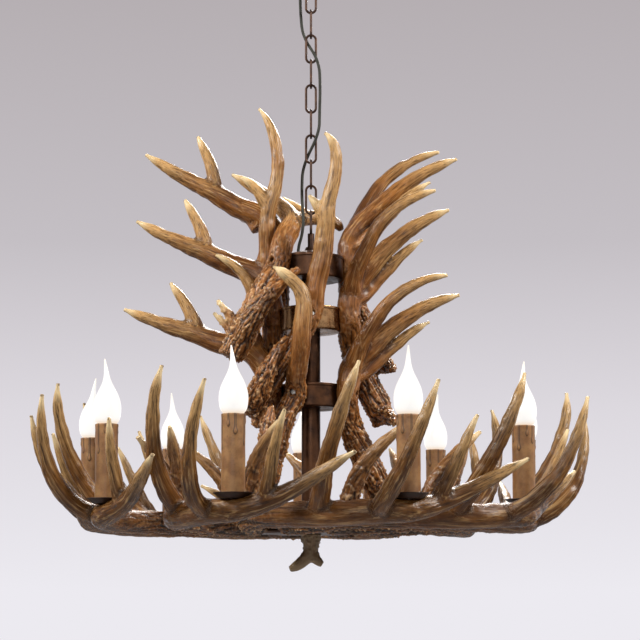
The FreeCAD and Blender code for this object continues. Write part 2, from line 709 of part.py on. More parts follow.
def candle_turns():
    """The direction of each candle, in degrees from -Y towards +X."""
    count = int(size("candle_count"))
    return [size("first_candle_turn") + 360 * i / count for i in range(count)]


def candle_places():
    """The frame of each lower antler: X outward through its candle, origin at the beams' level."""
    return [Placement(at(0, beam_level), Rotation(Vector(0, 0, 1), turn - 90)) for turn in candle_turns()]


def make_lower_antlers():
    """Nine antlers of one shape round the hub, each flattened and bored under its candle."""
    seat = at(CANDLE_OUT, size("seat_height"))
    rise = size("pan_radius") - size("seat_radius")
    gap = 1.5 * size("antler_gap")
    brim = seat + at(0, size("pan_height"))
    clear = rod(size("pan_radius") + gap, brim, brim + at(0, 2 * size("pan_height")))
    bowl = Part.makeCone(size("seat_radius") + gap, size("pan_radius") + gap, size("pan_height"), seat)
    nipple = size("candle_nipple_radius") + size("screw_fit")
    bore = rod(nipple, seat - at(0, size("candle_nipple_depth") + gap), seat + at(0, rise))
    shape = antler([LOWER_BEAM] + LOWER_TINES).cut(drum_space("hub", size("hub_rise")))
    shape = shape.cut(clear).cut(bowl).cut(bore)
    outward = unit(90 + ROOT_SCREW_TURN)
    shape, screw = fasten(shape, "hub", outward, ROOT_SCREW_OUT, 0)
    nodes = []
    screws = []
    for i, place in enumerate(candle_places(), start=1):
        nodes.append(feature(f"lower_antler_{i}", shape.copy(), place))
        screws.append(screw.transformed(place.Matrix))
    nodes.append(feature("lower_antler_screws", Part.makeCompound(screws)))
    return nodes


# ---------------------------------------------------------------- candles

# The bulb's flame, from the sleeve's top up: height, radius, and how far its tip bends over.
BULB_GLASS = [
    (-6, 9, 0), (0.5, 13.4, 0), (4, 16.2, 0), (10, 18.4, 0), (22, 19.5, 0), (34, 17.6, 0), (44, 13.6, 0),
    (53, 9, 0.3), (62, 5.4, 1), (72, 3.5, 2), (82, 2.2, 3.5), (91, 1, 5),
]
# Each bulb is screwed in this many degrees further than the one before it.
BULB_TURN = 137.5
# Where wax runs down the sleeve: turn round it, length, width.
WAX_RUNS = [(10, 30, 3.2), (75, 16, 2.6), (130, 42, 3.0), (205, 22, 3.4), (260, 35, 2.6), (320, 14, 3.0)]


def pan_shape():
    """A dished drip pan with a centre hole, standing on the height zero."""
    wall, foot, wide, deep = size("pan_wall"), size("seat_radius"), size("pan_radius"), size("pan_height")
    hole = size("candle_nipple_radius") + size("screw_fit")
    slope = wall * 0.6
    return spun(lines(
        at(hole, 0), at(foot, 0), at(wide, deep), at(wide - wall, deep), at(foot - slope, wall),
        at(hole, wall), at(hole, 0),
    ))


def sleeve_shape():
    """A candle sleeve with a rounded wax lip and a few runs of wax down its side."""
    radius, wall = size("sleeve_radius"), size("sleeve_wall")
    tall, lip = size("sleeve_height"), size("wax_lip")
    foot = size("pan_wall")
    top = foot + tall
    inner, outer = radius - wall, radius - lip / 2
    tube = spun(lines(at(inner, foot), at(outer, foot), at(outer, top), at(inner, top), at(inner, foot)))
    ring = Part.makeTorus(radius - lip, lip, at(0, top - lip))
    runs = []
    for turn, length, width in WAX_RUNS:
        side = Rotation(Vector(0, 0, 1), turn).multVec(at(radius - width / 2 - 0.2, 0))
        low, high = side + at(0, top - length), side + at(0, top - lip)
        runs += [rod(width / 2, low, high), Part.makeSphere(width / 2 + 0.1, low)]
    bore = rod(inner, at(0, foot - 1), at(0, top + lip))
    return tube.multiFuse([ring] + runs).cut(bore)


def holder_shape():
    """The lamp holder inside the sleeve: a post on the nipple, bored from above for the bulb's cap."""
    foot, tall = size("pan_wall"), holder_height
    post = rod(size("holder_radius"), at(0, foot), at(0, foot + tall))
    fit = size("screw_fit")
    nipple_top = size("candle_nipple_rise") + 3 * fit
    nipple = rod(size("candle_nipple_radius") + fit, at(0, foot - 1), at(0, nipple_top))
    socket_floor = foot + tall - size("holder_bore_depth")
    socket = rod(size("bulb_cap_radius") + size("bulb_fit"), at(0, socket_floor), at(0, foot + tall + 1))
    return post.cut(nipple).cut(socket)


def bulb_shape():
    """A flame bulb with a bent tip and its screw cap, standing in the holder."""
    foot = size("pan_wall")
    sleeve_top = foot + size("sleeve_height")
    glass = limb([(bend, 0, sleeve_top + height, radius) for height, radius, bend in BULB_GLASS])
    cap_low = foot + holder_height - size("holder_bore_depth") + size("bulb_fit")
    cap = rod(size("bulb_cap_radius"), at(0, cap_low), at(0, sleeve_top - 4))
    return glass.fuse(cap)


def make_candles():
    """Nine candles: pans, nipples, holders and sleeves in one node each, and every bulb in its own."""
    up = size("seat_height")
    low, high = at(0, -size("candle_nipple_depth")), at(0, size("candle_nipple_rise"))
    nipple = rod(size("candle_nipple_radius"), low, high)
    fittings = {
        "drip_pans": pan_shape(),
        "candle_nipples": nipple,
        "lamp_holders": holder_shape(),
        "candle_sleeves": sleeve_shape(),
    }
    bulb = bulb_shape()
    spots = [place.multVec(at(CANDLE_OUT, up)) for place in candle_places()]
    nodes = []
    for label, shape in fittings.items():
        nodes.append(feature(label, Part.makeCompound([shape.translated(spot) for spot in spots])))
    for i, spot in enumerate(spots, start=1):
        turn = Rotation(Vector(0, 0, 1), BULB_TURN * i)
        nodes.append(feature(f"bulb_{i}", bulb.copy(), Placement(spot, turn)))
    return nodes


# ---------------------------------------------------------------- the whole lamp

nodes = [
    make_ceiling_strap(),
    make_canopy(),
    make_hanger(),
    ring_nut("strap_nut", -size("strap_drop") + size("nut_height")),
    ring_nut("canopy_nut", canopy_bottom),
]
nodes += make_chain()
nodes += [
    make_cord(),
    make_eye(),
    ring_nut("eye_nut", stem_top),
    make_cup(),
    make_terminal(),
    make_stem(),
    make_collar("mid_collar", mid_level),
    make_collar("lower_collar", low_level),
    make_hub(),
    make_finial(),
    ring_nut("finial_nut", hub_bottom + size("hub_wall") + size("nut_height"), "finial_stud_radius"),
]
nodes += make_lower_antlers()
nodes += make_upper_antlers()
nodes += make_candles()

doc.recompute()
for item in doc.Objects:
    if "Invalid" in item.State or "Error" in item.State:
        raise RuntimeError(f"{item.Label} did not compute: {item.State}")
for node in nodes:
    if node.Shape.isNull() or not node.Shape.isValid():
        raise RuntimeError(f"{node.Label} has no valid shape")

os.makedirs("parts", exist_ok=True)
for node in nodes:
    node.Shape.exportStep(f"parts/{node.Label}.step")
print(len(nodes), "nodes")
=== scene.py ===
import heapq
import json
import math

import bpy
import numpy as np
from mathutils import Matrix, Vector, noise
from mathutils.bvhtree import BVHTree


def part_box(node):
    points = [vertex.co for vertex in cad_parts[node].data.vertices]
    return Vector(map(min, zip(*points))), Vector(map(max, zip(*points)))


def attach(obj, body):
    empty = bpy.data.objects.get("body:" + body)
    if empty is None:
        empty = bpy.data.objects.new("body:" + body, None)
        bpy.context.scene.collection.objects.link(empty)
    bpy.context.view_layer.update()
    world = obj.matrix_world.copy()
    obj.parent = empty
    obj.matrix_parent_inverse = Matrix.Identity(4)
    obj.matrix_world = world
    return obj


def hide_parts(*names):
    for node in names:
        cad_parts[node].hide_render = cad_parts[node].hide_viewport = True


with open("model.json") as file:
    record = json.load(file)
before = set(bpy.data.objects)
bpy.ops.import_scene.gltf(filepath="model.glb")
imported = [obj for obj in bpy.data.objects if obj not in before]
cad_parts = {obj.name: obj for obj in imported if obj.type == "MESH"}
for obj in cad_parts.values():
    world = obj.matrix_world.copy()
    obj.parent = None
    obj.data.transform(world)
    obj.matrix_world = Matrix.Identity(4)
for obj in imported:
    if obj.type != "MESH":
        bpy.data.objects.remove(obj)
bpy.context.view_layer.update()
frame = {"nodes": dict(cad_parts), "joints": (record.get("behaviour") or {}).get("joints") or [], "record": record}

# Looks of an antler chandelier. Lengths are millimetres in the part's own frame unless a comment says
# otherwise; MM turns them into metres, which meshes and the frame use.
MM = 0.001
scene = bpy.context.scene


# ---------------------------------------------------------------- mesh helpers

def tone(red, green, blue):
    """A colour written as 0-255 screen values, as linear RGBA."""
    def linear(value):
        share = value / 255
        return share / 12.92 if share <= 0.04045 else ((share + 0.055) / 1.055) ** 2.4
    return (linear(red), linear(green), linear(blue), 1.0)


def add_piece(name, mesh, material, body, *stands_for, slot):
    """Adds an object of this mesh that rides on a body and stands for the CAD nodes named."""
    piece = bpy.data.objects.new(name, mesh)
    scene.collection.objects.link(piece)
    mesh.materials.clear()
    mesh.materials.append(material)
    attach(piece, body)
    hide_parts(*stands_for)


def mesh_of(name, points, faces):
    """A smooth-shaded mesh of points in metres and faces of point numbers."""
    mesh = bpy.data.meshes.new(name)
    mesh.from_pydata([tuple(point) for point in points], [], faces)
    mesh.polygons.foreach_set("use_smooth", [True] * len(mesh.polygons))
    mesh.update()
    return mesh


def points_of(mesh):
    """The mesh's points as rows of an array, in metres."""
    flat = np.empty(len(mesh.vertices) * 3)
    mesh.vertices.foreach_get("co", flat)
    return flat.reshape(-1, 3)


def move_points(mesh, points):
    """Puts the mesh's points where these rows say."""
    mesh.vertices.foreach_set("co", points.ravel())
    mesh.update()


def set_field(mesh, name, kind, values):
    """Stores one value or vector for each point, for the materials to read."""
    field = mesh.attributes.new(name, kind, "POINT")
    content = "vector" if kind == "FLOAT_VECTOR" else "value"
    field.data.foreach_set(content, np.ravel(values).astype(np.float32))


def ramp(values, low, high):
    """0 below low, 1 above high, and a smooth rise between; low may be above high."""
    share = np.clip((values - low) / (high - low), 0, 1)
    return share * share * (3 - 2 * share)


def smooth_rows(rows, steps):
    """Catmull-Rom rows through the given rows of numbers, this many steps to each interval."""
    rows = np.array(rows, float)
    padded = np.vstack([2 * rows[0] - rows[1], rows, 2 * rows[-1] - rows[-2]])
    result = []
    for i in range(len(rows) - 1):
        before, a, b, after = padded[i:i + 4]
        for step in range(steps):
            t = step / steps
            result.append(0.5 * (2 * a + (b - before) * t + (2 * before - 5 * a + 4 * b - after) * t ** 2
                                 + (3 * a - before - 3 * b + after) * t ** 3))
    result.append(rows[-1])
    return np.array(result)


CORNER_STEPS = 4
SIDE_SHARE = 0.45


def rounded(outline, radius):
    """A closed outline of (r, z) corners with each corner rounded off, as far as its sides allow."""
    result = []
    count = len(outline)
    for i in range(count):
        corner = np.array(outline[i], float)
        back = np.array(outline[i - 1], float) - corner
        ahead = np.array(outline[(i + 1) % count], float) - corner
        reach = min(radius, SIDE_SHARE * np.linalg.norm(back), SIDE_SHARE * np.linalg.norm(ahead))
        start = corner + back / np.linalg.norm(back) * reach
        end = corner + ahead / np.linalg.norm(ahead) * reach
        for step in range(CORNER_STEPS + 1):
            t = step / CORNER_STEPS
            result.append((1 - t) ** 2 * start + 2 * t * (1 - t) * corner + t ** 2 * end)
    return result


def ring_faces(rows, segments, closed):
    """Faces between rows of points that each form a ring.

    With closed the last row joins the first; without it the first and last rows get a cap.
    """
    faces = []
    for i in range(rows if closed else rows - 1):
        low, high = i * segments, (i + 1) % rows * segments
        for k in range(segments):
            after = (k + 1) % segments
            faces.append((low + k, low + after, high + after, high + k))
    if not closed:
        faces.append(tuple(range(segments - 1, -1, -1)))
        faces.append(tuple((rows - 1) * segments + k for k in range(segments)))
    return faces


def turned(name, outline, segments):
    """A mesh of a closed (r, z) outline turned about Z."""
    points = []
    for r, z in outline:
        for k in range(segments):
            angle = 2 * math.pi * k / segments
            points.append((r * MM * math.cos(angle), r * MM * math.sin(angle), z * MM))
    return mesh_of(name, points, ring_faces(len(outline), segments, closed=True))


# ---------------------------------------------------------------- materials

class Nodes:
    """A small builder of shading nodes: each call adds a node and gives back its output."""

    def __init__(self, tree):
        self.tree = tree

    def put(self, socket, value):
        if isinstance(value, bpy.types.NodeSocket):
            self.tree.links.new(value, socket)
        elif value is not None:
            socket.default_value = value

    def node(self, kind, **settings):
        made = self.tree.nodes.new(kind)
        for key, value in settings.items():
            setattr(made, key, value)
        return made

    def field(self, name, output="Fac"):
        return self.node("ShaderNodeAttribute", attribute_name=name).outputs[output]

    def place(self):
        return self.node("ShaderNodeTexCoord").outputs["Object"]

    def stretched(self, vector, scale):
        made = self.node("ShaderNodeMapping")
        self.put(made.inputs["Vector"], vector)
        made.inputs["Scale"].default_value = scale
        return made.outputs["Vector"]

    def noise(self, vector, scale, detail=4.0, roughness=0.55):
        made = self.node("ShaderNodeTexNoise")
        self.put(made.inputs["Vector"], vector)
        made.inputs["Scale"].default_value = scale
        made.inputs["Detail"].default_value = detail
        made.inputs["Roughness"].default_value = roughness
        return made.outputs["Fac"]

    def waves(self, vector, scale, distortion):
        """Bands across the diagonal."""
        made = self.node("ShaderNodeTexWave", bands_direction="DIAGONAL")
        self.put(made.inputs["Vector"], vector)
        made.inputs["Scale"].default_value = scale
        made.inputs["Distortion"].default_value = distortion
        return made.outputs["Fac"]

    def between(self, value, low, high, to_low=0.0, to_high=1.0):
        made = self.node("ShaderNodeMapRange", interpolation_type="SMOOTHSTEP")
        for socket, content in zip(made.inputs[:5], (value, low, high, to_low, to_high)):
            self.put(socket, content)
        return made.outputs["Result"]

    def math(self, operation, a, b=None):
        made = self.node("ShaderNodeMath", operation=operation)
        self.put(made.inputs[0], a)
        self.put(made.inputs[1], b)
        return made.outputs[0]

    def mix(self, share, a, b):
        made = self.node("ShaderNodeMix", data_type="RGBA")
        self.put(made.inputs["Factor"], share)
        self.put(made.inputs["A"], a)
        self.put(made.inputs["B"], b)
        return made.outputs["Result"]

    def over(self, colour, other, where, strength):
        """The colour with another laid over it where a mask says, as strongly as strength allows."""
        return self.mix(self.math("MULTIPLY", where, strength), colour, other)

    def bump(self, height, strength, distance):
        made = self.node("ShaderNodeBump")
        self.put(made.inputs["Height"], height)
        made.inputs["Strength"].default_value = strength
        made.inputs["Distance"].default_value = distance * MM
        return made.outputs["Normal"]


class Shader(Nodes):
    """Nodes of a new material that end in its principled surface."""

    def __init__(self, name):
        self.material = bpy.data.materials.new(name)
        self.material.use_nodes = True
        super().__init__(self.material.node_tree)

    def finish(self, **sockets):
        surface = self.tree.nodes["Principled BSDF"]
        for name, value in sockets.items():
            self.put(surface.inputs[name.replace("_", " ")], value)
        return self.material


# Where an antler's colours change, by the distance to the tip: from here on, and fully by there.
GOLDEN_END = (140, 20)
IVORY_END = (34, 7)
WORN_END = (4.5, 2)
BEAD_TONE = tone(230, 192, 144)
IVORY_TONE = tone(230, 206, 160)
WORN_TONE = tone(82, 52, 28)


def antler_material(name, shade, body, light, ridge, root_tone):
    """Cast antler: orange-brown rough roots, brown beams with fine long grain, golden tines, cream tips."""
    make = Shader(name)
    grain = make.field("grain", "Vector")
    to_tip = make.field("to_tip")
    blotches = make.noise(make.place(), 19.0, 3.0)
    streaks = make.noise(grain, 0.30, 5.0, 0.62)
    lines = make.noise(grain, 0.80, 3.0, 0.6)
    colour = make.mix(make.between(blotches, 0.34, 0.66), body, light)
    colour = make.over(colour, ridge, make.between(to_tip, *GOLDEN_END), 0.62)
    colour = make.over(colour, ridge, make.between(streaks, 0.52, 0.70), 0.7)
    colour = make.over(colour, shade, make.between(streaks, 0.47, 0.32), 0.8)
    colour = make.over(colour, shade, make.between(lines, 0.50, 0.64), 0.6)
    colour = make.over(colour, root_tone, make.field("root"), 0.7)
    colour = make.over(colour, BEAD_TONE, make.field("bead"), 0.75)
    # Painted shade: darker in crotches and hollows where the skin is sunk.
    colour = make.over(colour, shade, make.field("hollow_shade"), 0.8)
    # Painted shade: darker along the carved grooves and scratches, by their depth.
    colour = make.over(colour, shade, make.field("groove_shade"), 0.85)
    worn_streaks = make.between(streaks, 0.85, 0.40)
    colour = make.over(colour, IVORY_TONE, make.between(to_tip, *IVORY_END), worn_streaks)
    colour = make.over(colour, WORN_TONE, make.between(to_tip, *WORN_END), 0.7)
    roughness = make.between(streaks, 0.35, 0.75, 0.22, 0.36)
    relief = make.math("SUBTRACT", streaks, make.math("MULTIPLY", lines, 0.8))
    return make.finish(Base_Color=colour, Roughness=roughness, Normal=make.bump(relief, 0.7, 1.1),
                       Specular_IOR_Level=0.34)


# How much finer a metal's scratches are than its clouds, and how much longer than wide.
SCRATCH_SCALE = 5
SCRATCH_STRETCH = (1.0, 1.0, 9.0)


def metal_material(name, base, worn, roughness, scale=60.0, metallic=1.0, relief=0.12):
    """Plated metal with cloudy patina, fine scratches and a slightly uneven skin."""
    make = Shader(name)
    place = make.place()
    clouds = make.noise(place, scale, 5.0, 0.6)
    scratches = make.noise(make.stretched(place, SCRATCH_STRETCH), scale * SCRATCH_SCALE, 3.0)
    colour = make.mix(make.between(clouds, 0.35, 0.7), base, worn)
    rough = make.math("ADD", make.between(clouds, 0.3, 0.75, roughness - 0.06, roughness + 0.10),
                      make.between(scratches, 0.35, 0.65, -0.04, 0.05))
    return make.finish(Base_Color=colour, Metallic=metallic, Roughness=rough,
                       Normal=make.bump(scratches, relief, 0.3))


WEAVE_SCALE = 260.0
WEAVE_WAVER = 0.6


def cord_material():
    """Dark olive cloth, woven of threads that cross."""
    make = Shader("woven_cord")
    place = make.place()
    one = make.waves(place, WEAVE_SCALE, WEAVE_WAVER)
    two = make.waves(make.stretched(place, (-1.0, -1.0, 1.0)), WEAVE_SCALE, WEAVE_WAVER)
    weave = make.math("MULTIPLY", one, two)
    colour = make.mix(weave, tone(24, 25, 20), tone(62, 64, 50))
    return make.finish(Base_Color=colour, Roughness=0.7, Normal=make.bump(weave, 0.6, 0.5))


def sleeve_material():
    """Tan wax, with painted shade along the edges of the runs down its side."""
    make = Shader("wax_sleeve")
    place = make.place()
    run = make.field("run")
    clouds = make.noise(place, 55.0, 5.0, 0.6)
    specks = make.noise(place, 420.0, 3.0)
    colour = make.mix(make.between(clouds, 0.35, 0.68), tone(122, 84, 48), tone(152, 112, 68))
    colour = make.over(colour, tone(72, 44, 24), make.between(specks, 0.55, 0.72), 0.3)
    # Painted shade: a dark band along each run's flanks, where it stands out of the sleeve.
    run_edge_shade = make.math("MULTIPLY", make.between(run, 0.04, 0.2), make.between(run, 0.62, 0.34))
    colour = make.over(colour, tone(48, 28, 14), run_edge_shade, 0.8)
    return make.finish(Base_Color=colour, Roughness=make.between(clouds, 0.3, 0.7, 0.36, 0.52),
                       Subsurface_Weight=0.08, Subsurface_Scale=0.004,
                       Normal=make.bump(specks, 0.15, 0.3))


BULB_GLOW = 0.86


def bulb_material():
    """Lit frosted glass: a bright even glow, a little warmer towards the foot and at the thin tip."""
    make = Shader("lit_frosted_glass")
    clouds = make.noise(make.place(), 90.0, 3.0)
    colour = make.mix(make.field("warm"), (1.0, 0.99, 0.97, 1.0), tone(255, 214, 160))
    colour = make.over(colour, tone(240, 225, 205), clouds, 0.05)
    return make.finish(Base_Color=tone(120, 116, 110), Roughness=0.25, Emission_Color=colour,
                       Emission_Strength=BULB_GLOW)


def plastic_material():
    """Off-white moulded plastic with a faint grain."""
    make = Shader("moulded_insulator")
    specks = make.noise(make.place(), 500.0, 3.0)
    colour = make.mix(make.between(specks, 0.4, 0.7), tone(206, 200, 184), tone(190, 183, 166))
    return make.finish(Base_Color=colour, Roughness=0.5, Normal=make.bump(specks, 0.1, 0.2))


upper_antler = antler_material(
    "antler_upper", shade=tone(40, 16, 4), body=tone(116, 70, 28), light=tone(152, 100, 48),
    ridge=tone(216, 176, 118), root_tone=tone(168, 106, 52))
lower_antler = antler_material(
    "antler_lower", shade=tone(28, 13, 4), body=tone(90, 55, 21), light=tone(124, 82, 37),
    ridge=tone(208, 170, 116), root_tone=tone(140, 86, 40))
bronze = metal_material("satin_bronze", tone(138, 104, 70), tone(172, 136, 96), roughness=0.27)
# A darker copy of the satin bronze: painted shade for the cup, the lower collar, the hub and the stem, which sit
# among the antlers.
shaded_bronze = metal_material("shaded_bronze", tone(52, 30, 15), tone(88, 56, 32), roughness=0.34, scale=50.0,
                             metallic=0.7)
dark_bronze = metal_material("dark_bronze", tone(44, 29, 22), tone(76, 52, 38), roughness=0.42, scale=140.0,
                             metallic=0.7, relief=0.3)
pan_bronze = metal_material("pan_bronze", tone(36, 20, 10), tone(56, 34, 20), roughness=0.4, scale=90.0,
                            metallic=0.4)
zinc = metal_material("zinc_plate", tone(176, 174, 168), tone(206, 204, 198), roughness=0.30, scale=200.0)
cord_cloth = cord_material()
wax = sleeve_material()
glow = bulb_material()
insulator = plastic_material()


# ---------------------------------------------------------------- antlers

VOXEL = 1.6
# Antlers stay plain this near a drum's ends and beside it; carving sets in from DRUM_SEAT to DRUM_MARGIN
# outside the drum. Under a pan it sets in between the distances of PAN_SEAT from the candle's axis.
DRUM_MARGIN = 4.0
DRUM_SEAT = 0.6
PAN_SEAT = (27, 32)
PAN_SEAT_DEPTH = 6.0
# The furthest way through a limb that is measured, how far under the skin it starts, and the radii allowed.
WIDEST_LIMB = 46
RAY_START = 0.2
LIMB_RADII = (1.5, 21)
# Thick limbs lose the creases of the CAD form: not at all at the first radius, fully at the second.
SOFTENED_LIMBS = (5, 11)
# How far softened points are pushed back out, against how far they were drawn in.
PUSH_BACK = 1.05
# A tip is thinner than this radius and further than this from the root.
TIP_RADIUS = 6.5
TIP_FROM_ROOT = 60
# A step along a limb is a slanting step through the patterns, and LIMB_DRIFT is each of its three parts.
LIMB_DRIFT = 0.58
# The carving: how wide each pattern is, how long along the limb, and how high or deep.
VALLEY_WIDTH, VALLEY_LENGTH, VALLEY_DEPTH = 6.0, 54, 1.4
SCRATCH_WIDTH, SCRATCH_LENGTH, SCRATCH_DEPTH = 2.9, 30, 0.7
GRAIN_LENGTH = 24
RIDGE_HEIGHT = 0.6
BEAD_SIZE, BEAD_HEIGHT = 4.3, 2.1
WAVE_SIZE, WAVE_HEIGHT = 26, 1.5
LUMP_SIZE, LUMP_HEIGHT = 12, 0.9


def even_copy(node):
    """The CAD node's form as an even fine mesh."""
    rough = bpy.data.objects.new(node + "_even", frame["nodes"][node].data.copy())
    scene.collection.objects.link(rough)
    even = rough.modifiers.new("even", "REMESH")
    even.mode = "VOXEL"
    even.voxel_size = VOXEL * MM
    mesh = bpy.data.meshes.new_from_object(rough.evaluated_get(bpy.context.evaluated_depsgraph_get()))
    bpy.data.objects.remove(rough)
    mesh.name = node + "_form"
    mesh.polygons.foreach_set("use_smooth", [True] * len(mesh.polygons))
    return mesh


def spread(values, edges, rounds):
    """Each point's value averaged with its neighbours', this many times."""
    values = np.array(values, float)
    flat = values.reshape(len(values), -1)
    here, there = np.concatenate([edges, edges[:, ::-1]]).T
    count = np.bincount(here, minlength=len(flat))[:, None] + 1
    for _ in range(rounds):
        total = flat.copy()
        for column in range(flat.shape[1]):
            total[:, column] += np.bincount(here, weights=flat[there, column], minlength=len(flat))
        flat = total / count
    return flat.reshape(values.shape)


def softened(points, edges, share, rounds, keep_size):
    """Points drawn towards their neighbours by share; keep_size pushes them back out after each round."""
    share = np.reshape(share, (-1, 1))
    for _ in range(rounds):
        points = points + share * (spread(points, edges, 1) - points)
        if keep_size:
            points = points - PUSH_BACK * share * (spread(points, edges, 1) - points)
    return points


def distance_over(points, edges, seeds):
    """The distance along the mesh's edges from the nearest seed to each point."""
    neighbours = [[] for _ in range(len(points))]
    lengths = np.linalg.norm(points[edges[:, 0]] - points[edges[:, 1]], axis=1)
    for (a, b), length in zip(edges.tolist(), lengths.tolist()):
        neighbours[a].append((b, length))
        neighbours[b].append((a, length))
    distance = [math.inf] * len(points)
    queue = []
    for seed in seeds:
        distance[seed] = 0.0
        queue.append((0.0, seed))
    while queue:
        so_far, at = heapq.heappop(queue)
        if so_far > distance[at]:
            continue
        for other, length in neighbours[at]:
            reach = so_far + length
            if reach < distance[other]:
                distance[other] = reach
                heapq.heappush(queue, (reach, other))
    found = np.array(distance)
    found[~np.isfinite(found)] = 0
    return found


def noise_at(places, shift=0.0):
    """Smooth noise at each place; each shift gives another pattern."""
    return np.fromiter((noise.noise(place) for place in places + shift), float, len(places))


def half_thickness(mesh, points, normals, edges):
    """The limb's radius at each point in millimetres: half the way through the limb there, evened out."""
    tree = BVHTree.FromPolygons(points.tolist(), [tuple(face.vertices) for face in mesh.polygons])
    through = np.full(len(points), WIDEST_LIMB * MM)
    for i, (point, normal) in enumerate(zip(points, normals)):
        inward = Vector(-normal)
        distance = tree.ray_cast(Vector(point) + inward * RAY_START * MM, inward, WIDEST_LIMB * MM)[3]
        if distance is not None:
            through[i] = distance
    return np.clip(spread(through / MM / 2, edges, 12), *LIMB_RADII)


def clear_of_fittings(points):
    """1 on open antler, falling to 0 where a drum or a candle's pan is seated on it."""
    reach = np.hypot(points[:, 0], points[:, 1]) / MM
    share = np.ones(len(points))
    for drum in ("top_cup", "mid_collar", "lower_collar", "bottom_hub"):
        low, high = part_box(drum)
        radius = high.x / MM
        beside = (points[:, 2] > low.z - DRUM_MARGIN * MM) & (points[:, 2] < high.z + DRUM_MARGIN * MM)
        clear = ramp(reach, radius + DRUM_SEAT, radius + DRUM_MARGIN)
        share[beside] = np.minimum(share, clear)[beside]
    for spot in candle_spots:
        away = np.hypot(points[:, 0] - spot.x, points[:, 1] - spot.y) / MM
        above = points[:, 2] > spot.z - PAN_SEAT_DEPTH * MM
        share[above] = np.minimum(share, ramp(away, *PAN_SEAT))[above]
    return share


def normals_of(mesh, edges):
    """The mesh's normals, a little evened out."""
    normals = np.array([vertex.normal for vertex in mesh.vertices])
    normals = spread(normals, edges, 3)
    return normals / np.maximum(np.linalg.norm(normals, axis=1), 1e-9)[:, None]


def tips_of(edges, along, radius):
    """The tips: thin places, away from the root, from which every way leads back towards it."""
    highest = np.zeros(len(along))
    np.maximum.at(highest, edges[:, 0], along[edges[:, 1]])
    np.maximum.at(highest, edges[:, 1], along[edges[:, 0]])
    return np.flatnonzero((along >= highest) & (radius < TIP_RADIUS) & (along > TIP_FROM_ROOT))


def grooves_in(pattern, sharpness):
    """1 along the lines where a pattern crosses zero, falling to 0 on both sides."""
    return np.clip(1 - np.abs(pattern) * sharpness, 0, 1) ** 1.5


def carved_antler(node, root_of, rough_reach, pale_share=1.0):
    """The antler's mesh with grooves, beads and waves carved along its limbs, and what its colours need.

    The carving is rough for rough_reach millimetres from the root; pale_share shortens the pale ends.
    """
    mesh = even_copy(node)
    edges = np.empty(len(mesh.edges) * 2, int)
    mesh.edges.foreach_get("vertices", edges)
    edges = edges.reshape(-1, 2)
    points = softened(points_of(mesh), edges, np.ones(len(mesh.vertices)), 4, keep_size=True)
    move_points(mesh, points)
    radius = half_thickness(mesh, points, normals_of(mesh, edges), edges)
    share = ramp(radius, *SOFTENED_LIMBS) * clear_of_fittings(points)
    points = softened(points, edges, share, 9, keep_size=False)
    move_points(mesh, points)
    normals = normals_of(mesh, edges)
    along = spread(distance_over(points, edges, np.flatnonzero(root_of(points))), edges, 10) / MM
    to_tip = spread(distance_over(points, edges, tips_of(edges, along, radius)), edges, 4) / MM

    round_limb = normals * radius[:, None]
    along_limb = along[:, None] * np.full(3, LIMB_DRIFT)
    waves = noise_at(points / MM / WAVE_SIZE, 11.7)
    lumps = noise_at(points / MM / LUMP_SIZE, 5.9)
    rough = ramp(along, rough_reach, 0.3 * rough_reach)
    blunt = ramp(to_tip, 6, 60)
    deep = (0.2 + 1.2 * rough) * blunt
    valley = grooves_in(noise_at(round_limb / VALLEY_WIDTH + along_limb / VALLEY_LENGTH), 3.6)
    scratch = grooves_in(noise_at(round_limb / SCRATCH_WIDTH + along_limb / SCRATCH_LENGTH, 7.3), 3.2)
    bead = np.clip(noise_at(points / MM / BEAD_SIZE, 3.1) * 2.2 - 0.2, 0, 1) * rough
    height = RIDGE_HEIGHT * rough * (1 - valley) - VALLEY_DEPTH * deep * valley
    height = height - SCRATCH_DEPTH * deep * scratch + BEAD_HEIGHT * bead
    height += (WAVE_HEIGHT * waves + LUMP_HEIGHT * lumps) * blunt
    open_share = clear_of_fittings(points)
    height = np.where(height > 0, height * open_share, height * (0.25 + 0.75 * open_share))
    moved = points + normals * (height * MM)[:, None]
    move_points(mesh, moved)

    # How far each point is sunk below its neighbourhood, for the painted shade in crotches and hollows.
    sunk = np.sum((spread(moved, edges, 20) - moved) * normals, axis=1) / MM
    set_field(mesh, "grain", "FLOAT_VECTOR", round_limb + along_limb / GRAIN_LENGTH)
    # Painted shade along the carved grooves and scratches, by their depth.
    set_field(mesh, "groove_shade", "FLOAT", np.clip(valley * deep + 0.7 * scratch * deep, 0, 1))
    set_field(mesh, "hollow_shade", "FLOAT", ramp(sunk, -0.5, 1.0) * blunt)
    set_field(mesh, "root", "FLOAT", ramp(along, 1.3 * rough_reach, 0.35 * rough_reach))
    set_field(mesh, "bead", "FLOAT", bead)
    set_field(mesh, "to_tip", "FLOAT", to_tip / pale_share)
    return mesh


def joint_place(name):
    """Where a joint of the frame is, in metres."""
    for joint in frame["joints"]:
        if joint["name"] == name:
            return Vector(joint["pos_m"])


# The candles stand where the bulbs turn, on the flats of the lower antlers.
CANDLES = 9
pan_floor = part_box("drip_pans")[0].z
candle_spots = []
for number in range(1, CANDLES + 1):
    turning = joint_place(f"bulb_{number}_turn")
    candle_spots.append(Vector((turning.x, turning.y, pan_floor)))

# How far an antler's root reaches, and how far the rough carving reaches from it.
ROOT_BESIDE_HUB = 6
ROOT_AT_FOOT = 8
ROOT_AT_TOP = 16
LOWER_ROUGH = 300
UPPER_ROUGH = 240
FINIAL_ROUGH = 50
FINIAL_PALE = 0.3


def near_hub(points):
    """Which points of a lower antler are its root."""
    return np.hypot(points[:, 0], points[:, 1]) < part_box("bottom_hub")[1].x + ROOT_BESIDE_HUB * MM


